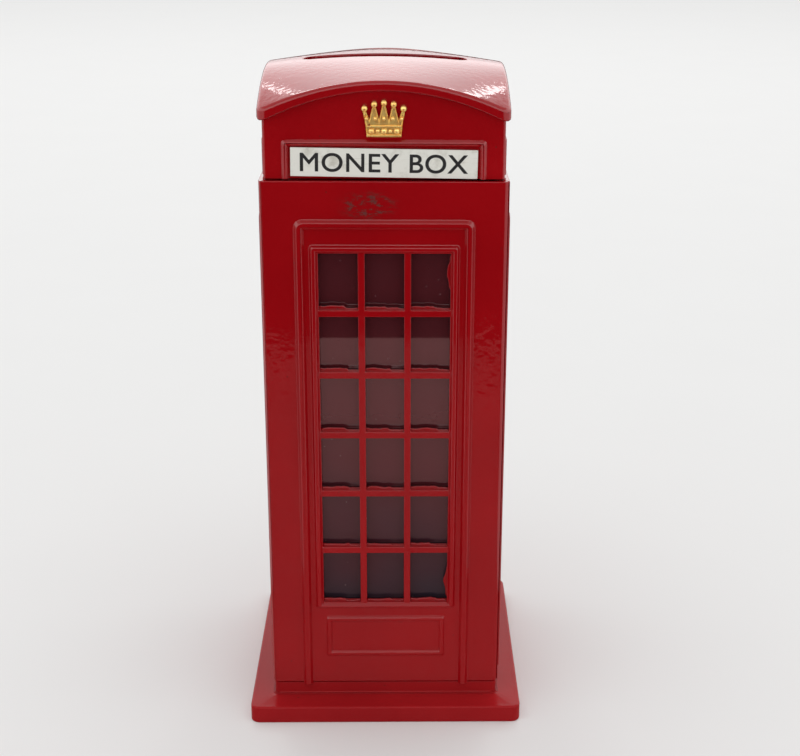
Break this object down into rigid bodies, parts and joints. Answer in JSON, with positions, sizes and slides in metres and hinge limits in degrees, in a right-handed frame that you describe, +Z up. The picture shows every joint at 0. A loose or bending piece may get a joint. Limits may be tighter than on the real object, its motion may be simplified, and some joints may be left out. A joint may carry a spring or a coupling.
{
  "type": "kiosk money box",
  "caption": "Square kiosk-shaped metal money box with barred windows, a domed roof with a coin slot, and a push-in stopper under the plinth.",
  "frame": {"origin": "centre of the plinth's flat underside", "axes": "+Z up through the crest of the roof; the front, with the tilted sign, faces -Y; +X to the right seen from the front"},
  "size_m": [0.06, 0.06, 0.1431],
  "materials": {
    "red_paint": "gloss enamel on die-cast zinc",
    "sign_card": "off-white printed card",
    "gilt": "gold paint",
    "tinted_sheet": "dark glossy film",
    "black_plastic": "satin moulded plastic",
    "zinc": "zinc-plated steel"
  },
  "bodies": {
    "case": {"plinth": "red_paint", "roof": "red_paint", "panel_front": "red_paint", "glazing_front": "tinted_sheet", "crown_front": "gilt", "sign_front": "sign_card", "panel_right": "red_paint", "glazing_right": "tinted_sheet", "crown_right": "gilt", "sign_right": "sign_card", "panel_back": "red_paint", "glazing_back": "tinted_sheet", "crown_back": "gilt", "sign_back": "sign_card", "panel_left": "red_paint", "glazing_left": "tinted_sheet", "crown_left": "gilt", "sign_left": "sign_card", "roof_screw_front_right": "zinc", "base_screw_front_right": "zinc", "roof_screw_back_right": "zinc", "base_screw_back_right": "zinc", "roof_screw_back_left": "zinc", "base_screw_back_left": "zinc", "roof_screw_front_left": "zinc", "base_screw_front_left": "zinc"},
    "stopper": {"stopper": "black_plastic"}
  },
  "joints": [
    {"name": "stopper_pull", "type": "slide", "parent": "case", "child": "stopper", "axis": [0, 0, -1], "range_m": [0, 0.03]}
  ]
}
